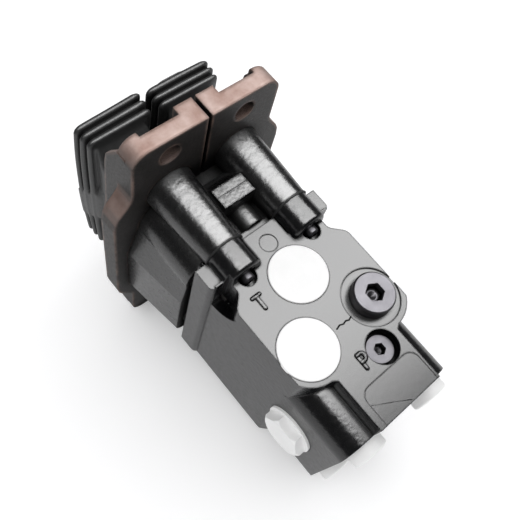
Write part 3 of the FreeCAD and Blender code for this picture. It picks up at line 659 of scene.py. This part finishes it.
@dataclass
class Boot:
    """One rubber boot: a neck on the cover and three thin ribs up to the pedal seat.

    The inner and outer reach push the lips out towards the other boot and away
    from it, and lean lifts the inner side, in millimetres to the millimetre. The
    arch and the bulge bow the free part of the boot up and out, and the tuck
    takes most of that arch back at the very top. The flat is the smooth patch
    moulded over the grooves on the outer side, from a sloping front edge through
    the given y and z. Slack is how far the rubber stands out of true.
    """

    hand: str
    rib_half: Place = (16.75, 50.4)
    rib_radius: float = 3.2
    groove_half: Place = (13.2, 46.9)
    groove_radius: float = 2.4
    groove_gap: float = 0.3
    neck_half: Place = (15.6, 41.0)
    neck_radius: float = 7.0
    foot_rim: float = 0.9
    rib_heights: tuple[float, ...] = (36.9, 41.7, 46.5)
    rib_thickness: float = 3.4
    inner_reach: float = 1.3
    outer_reach: float = 1.3
    lean: float = 0.0
    wall: float = 1.2
    inner_radius: float = 2.0
    foot_z: float = 10.0
    free_below: float = 6.0
    free_length: float = 12.0
    tuck_above: float = 1.3
    tuck_length: float = 1.2
    tuck: float = 0.65
    arch_rise: float = 0.9
    arch_drop: float = 1.4
    bulge: float = 2.2
    bulge_middle: float = -10.0
    bulge_beyond: float = 12.0
    flat_front: Place = (1.0, 46.5)
    flat_slope: float = 0.93
    flat_length: float = 30.0
    flat_low: float = 30.0
    flat_sunk: float = 0.3
    flat_fade: Place = (1.5, 2.0)
    slack: float = 0.3
    slack_waves: Point = (0.05, 0.04, 0.03)
    steps: int = 8

    def profile(self) -> list[tuple[float, float, float, float]]:
        """List the outer sections from the foot to the lip.

        Returns:
            Height, half width, half length and corner radius of each section.
        """
        (nx, ny), (gx, gy), (rx, ry) = self.neck_half, self.groove_half, self.rib_half
        foot, first, last = self.foot_z, self.rib_heights[0], self.rib_heights[-1]
        nr, gr, rim = self.neck_radius, self.groove_radius, self.foot_rim
        # The rim on the cover, then the neck, which tapers and turns squarer up
        # to the lowest rib.
        rows = [
            (foot, nx + rim, ny + rim, nr + rim),
            (foot + 1.4, nx + rim, ny + rim, nr + rim),
            (foot + 2.0, nx + 0.6, ny + 0.6, nr + 0.6),
            (foot + 2.6, nx, ny, nr),
            (foot + 10.0, nx - 0.3, ny, nr),
            (first - 7.0, nx - 0.5, ny, nr - 1.0),
            (first - 6.0, nx - 0.8, ny + 0.9, nr - 2.0),
            (first - 3.6, nx - 1.6, gy - 1.9, gr + 0.8),
        ]
        crest = self.rib_thickness / 2
        for height in self.rib_heights:
            rows.append((height - crest - self.groove_gap, gx, gy, gr))
            for degrees in range(-75, 76, 25):
                a = math.radians(degrees)
                inset = crest * (1 - math.cos(a))
                rows.append((height + crest * math.sin(a), rx - inset, ry - inset, self.rib_radius))
            rows.append((height + crest + self.groove_gap, gx, gy, gr))
        rows += [(last + 2.2, gx, gy - 0.8, gr), (last + 2.7, gx - 0.5, gy - 1.6, gr)]
        return rows

    def flat(self, y: float, z: float) -> float:
        """Say how far the moulded flat on the outer side fills the grooves.

        Args:
            y: The place along the side, in millimetres.
            z: Its height.

        Returns:
            Nought where the grooves are open and one on the flat.
        """
        front = self.flat_front[0] + (z - self.flat_front[1]) * self.flat_slope
        along, up = self.flat_fade
        return share(min((y - front) / along, (front + self.flat_length - y) / along,
                         (z - self.flat_low) / up))

    def mesh(self) -> tuple[list[Vector], list[list[int]]]:
        """Skin the sections outside and in, a wall apart, into one closed shell.

        Returns:
            The points in millimetres and the faces.
        """
        outer = self.profile()
        inner = [(z, hx - self.wall, hy - self.wall, max(r - self.wall, self.inner_radius))
                 for z, hx, hy, r in outer]
        rows = outer + inner[::-1]
        side = HANDS[self.hand]
        middle_x = side * STATION_X
        gx = self.groove_half[0]
        rx, ry = self.rib_half
        wave_x, wave_y, wave_z = self.slack_waves
        seat = self.rib_heights[-1] + self.tuck_above
        points: list[Vector] = []
        for level, (z, hx, hy, r) in enumerate(rows):
            skin = rx - self.flat_sunk - (self.wall if level >= len(outer) else 0.0)
            free = share((z - self.rib_heights[0] + self.free_below) / self.free_length)
            tucked = 1.0 - self.tuck * share((z - seat) / self.tuck_length)
            crest = share((hx - gx) / (rx - gx))
            for x, y in rounded_outline(hx, hy, r, self.steps):
                out = side * x
                if out > hx - NEAR_MM:
                    out += max(skin - hx, 0.0) * self.flat(y, z)
                if out > 0.0:
                    swell = 1.0 - ((y - self.bulge_middle) / (ry + self.bulge_beyond)) ** 2
                    out += free * self.bulge * swell * min(out / hx, 1.0) ** 2
                reach = self.outer_reach if out > 0.0 else self.inner_reach
                bow = self.arch_rise - self.arch_drop * (y / ry) ** 2 + self.lean * (rx - out)
                x = side * out * (1.0 + reach * crest * free / hx)
                lump = noise.noise(Vector((x * wave_x, y * wave_y, z * wave_z + middle_x)))
                slack = self.slack * lump
                points.append(Vector((middle_x + x, y, z + free * (bow * tucked + slack))))
        return points, ring_faces(0, len(rows), len(points) // len(rows), closed=True)

    def build(self) -> None:
        """Make the boot, bowed between the valve and its cam, and let it stand for its solid."""
        points, faces = self.mesh()
        piece = mesh_piece(f"{self.hand}_boot", points, faces, BOOT_RUBBER, "")
        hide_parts(f"{self.hand}_bellows")
        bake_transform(piece)


@dataclass
class CoilSpring:
    """One open coil of round wire, which shortens as its rod comes down.

    foot_z and head_z are the heights of its two ends, and mean_radius is the
    coil's, out to the middle of the wire.
    """

    station: str
    kind: str
    foot_z: float
    head_z: float
    mean_radius: float
    wire_radius: float
    turns: float
    steps_per_turn: int = 28
    around: int = 10

    def mesh(self) -> tuple[list[Vector], list[list[int]]]:
        """Sweep the wire along its helix.

        Returns:
            The points in millimetres and the faces.
        """
        x, y = STATIONS[self.station]
        steps = round(self.turns * self.steps_per_turn)
        rise = self.head_z - self.foot_z - 2 * self.wire_radius
        points: list[Vector] = []
        for i in range(steps + 1):
            turn = 2 * math.pi * self.turns * i / steps
            middle_z = self.foot_z + self.wire_radius + rise * i / steps
            for k in range(self.around):
                a = 2 * math.pi * k / self.around
                out = self.mean_radius + self.wire_radius * math.cos(a)
                points.append(Vector((x + out * math.cos(turn), y + out * math.sin(turn),
                                      middle_z + self.wire_radius * math.sin(a))))
        return points, tube_faces(0, steps, self.around)

    def build(self) -> None:
        """Make the spring in place of its node, between the casing and its rod."""
        points, faces = self.mesh()
        coil = mesh_piece(f"{self.station}_{self.kind}_coil", points, faces, SPRING_WIRE,
                          "")
        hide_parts(f"{self.station}_{self.kind}_spring")
        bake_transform(coil)


@dataclass
class JointShadowBeads:
    """Dark beads laid on the real joint where the four tubes stand on their lugs: a painted shadow line
    under the tubes' overhang.
    """

    joint_z: float = -39.6
    place: Place = (19.3, 47.4)
    radius: float = 9.85
    bead: float = 0.5
    ragged: float = 0.5
    sweep: float = 190.0
    steps: int = 36
    around: int = 8

    def build(self) -> None:
        """Make the four beads as one piece."""
        points: list[Vector] = []
        faces: list[list[int]] = []
        for sx in HANDS.values():
            for sy in ENDS.values():
                first = len(points)
                for i in range(self.steps + 1):
                    turn = math.radians(90.0 * sy + self.sweep * (i / self.steps - 0.5))
                    # The first two values set the four beads apart in the noise.
                    lump = noise.noise(Vector((sx * 5.0, sy * 7.0, i * 0.6)))
                    thick = self.bead * (1.0 + self.ragged * lump)
                    for k in range(self.around):
                        a = 2 * math.pi * k / self.around
                        out = self.radius + thick * math.cos(a)
                        points.append(Vector((sx * self.place[0] + out * math.cos(turn),
                                              sy * self.place[1] + out * math.sin(turn),
                                              self.joint_z + thick * math.sin(a))))
                faces += tube_faces(first, self.steps, self.around)
        # The black nitrile finish makes the beads paint the shadow line.
        mesh_piece("joint_shadow_beads", points, faces, NITRILE, "valve_body")


@dataclass
class RaisedLine:
    """Raised strokes with sloping sides and round ends, on a flat that faces the ports."""

    name: str
    strokes: list[Stroke]
    width: float = 1.7
    rise: float = 0.8
    base_y: float = PORT_FACE_Y
    around: int = 16

    def build(self) -> None:
        """Make all the strokes as one piece of the casting."""
        half = self.width / 2
        # From the skirt, sunk in the face, to the crown: each ring's radius and depth.
        rings = ((half + 0.25, 0.3), (half + 0.1, -0.6 * self.rise),
                 (half - 0.15, -self.rise), (0.05, -1.02 * self.rise))
        points: list[Vector] = []
        faces: list[list[int]] = []
        for start, end in self.strokes:
            first = len(points)
            turn = math.atan2(end[1] - start[1], end[0] - start[0])
            for radius, depth in rings:
                for i in range(self.around):
                    a = turn + math.pi / 2 + 2 * math.pi * (i + 0.5) / self.around
                    x, z = start if i < self.around // 2 else end
                    points.append(Vector((x + radius * math.cos(a), self.base_y + depth,
                                          z + radius * math.sin(a))))
            faces += ring_faces(first, len(rings), self.around)
            faces.append(list(range(len(points) - self.around, len(points))))
        mesh_piece(self.name, points, faces, MACHINED_ENAMEL, "valve_body")


@dataclass
class DrillPoint:
    """The hollow that the drill left at the bottom of a plug's socket.

    Its place is the socket's axis, as x and z, and floor_y is where the socket ends.
    """

    name: str
    place: Place
    floor_y: float
    radius: float
    around: int = 24

    def build(self) -> None:
        """Make its wall and the hollow cone inside it as one piece of the plug."""
        wall = self.radius
        rings = ((wall, 0.02), (wall, -0.5 * wall), (0.55 * wall, -0.27 * wall), (0.02, -0.02))
        turns = [2 * math.pi * i / self.around for i in range(self.around)]
        points = [Vector((self.place[0] + radius * math.cos(a), self.floor_y + depth,
                          self.place[1] + radius * math.sin(a)))
                  for radius, depth in rings for a in turns]
        faces = ring_faces(0, len(rings), self.around)
        mesh_piece(self.name, points, faces, PHOSPHATE, "valve_body")


@dataclass
class PortFace:
    """The marks on the port face, and the bottoms of the two sockets in it."""

    return_strokes: tuple[Stroke, ...] = (
        ((-24.2, -64.4), (-20.2, -64.4)), ((-22.2, -64.4), (-22.2, -71.0)))
    pressure_stem: Stroke = ((-4.9, -110.7), (-4.9, -117.5))
    pressure_bowl: tuple[Place, ...] = (
        (-4.9, -110.7), (-3.0, -110.7), (-2.0, -111.4), (-1.7, -112.5), (-2.0, -113.6),
        (-3.0, -114.3), (-4.9, -114.3))
    flash: tuple[Place, ...] = (
        (-3.6, -96.9), (-1.4, -96.3), (0.4, -97.0), (2.2, -96.5), (3.6, -97.2), (5.3, -96.6))
    scribed: tuple[Place, ...] = ((1.3, -139.0), (-6.2, -134.5), (-14.6, -129.8))
    scribed_y: float = -47.68

    def build(self) -> None:
        """Make the port letters, the cores' flash line, the scribed line and the drill points."""
        flash = list(zip(self.flash, self.flash[1:]))
        scribed = list(zip(self.scribed, self.scribed[1:]))
        bowl = list(zip(self.pressure_bowl, self.pressure_bowl[1:]))
        RaisedLine("return_port_letter", list(self.return_strokes)).build()
        RaisedLine("pressure_port_letter", [self.pressure_stem, *bowl]).build()
        RaisedLine("core_flash_line", flash, width=0.35, rise=0.35).build()
        RaisedLine("marking_out_line", scribed, width=0.2, rise=0.06, base_y=self.scribed_y).build()
        DrillPoint("shuttle_plug_drill_point", (19.4, -95.4), floor_y=PORT_FACE_Y, radius=3.3).build()
        DrillPoint("gauge_plug_drill_point", (7.3, -115.0), floor_y=-40.8, radius=2.1).build()


def dress_solids() -> None:
    """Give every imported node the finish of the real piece."""
    CAST_ENAMEL.dress("upper_casing")
    MACHINED_ENAMEL.dress("lower_casing", "separator_plate", "gallery_plug")
    COVER_OXIDE.dress("left_cover", "right_cover")
    PHOSPHATE.dress("tie_bolts", "shuttle_plug", "gauge_plug", "shaft_set_screws")
    NITRILE.dress("rod_seals", "separator_seals", "chamber_seals", "damper_seals",
                  "shuttle_plug_seal", "gauge_plug_seal")
    POLYETHYLENE.dress("t_port_cap", "p_port_cap", "outlet_caps", "side_port_plug")
    SINTERED_BRONZE.dress("rod_guides", *(f"{hand}_cam_bush" for hand in HANDS))
    HARDENED_STEEL.dress(*(f"{hand}_cam" for hand in HANDS))
    GROUND_STEEL.dress(*(f"{hand}_cam_shaft" for hand in HANDS))
    for station in STATIONS:
        GROUND_STEEL.dress(*(f"{station}_{part}" for part in ("push_rod", "piston", "spool")))
        HARDENED_STEEL.dress(f"{station}_spring_seat")


def main() -> None:
    """Build the scene in order."""
    Studio().build()
    dress_solids()
    Boot("left", inner_reach=2.8, outer_reach=0.0, lean=0.055).build()
    Boot("right").build()
    for station in STATIONS:
        CoilSpring(station, "return", foot_z=-36.5, head_z=-20.05,
                   mean_radius=7.4, wire_radius=0.9, turns=4.5).build()
        CoilSpring(station, "balance", foot_z=-72.0, head_z=-54.05,
                   mean_radius=5.6, wire_radius=0.8, turns=5.5).build()
    JointShadowBeads().build()
    PortFace().build()
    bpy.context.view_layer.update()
    log.info("sizes written")


if __name__ == "__main__":
    main()
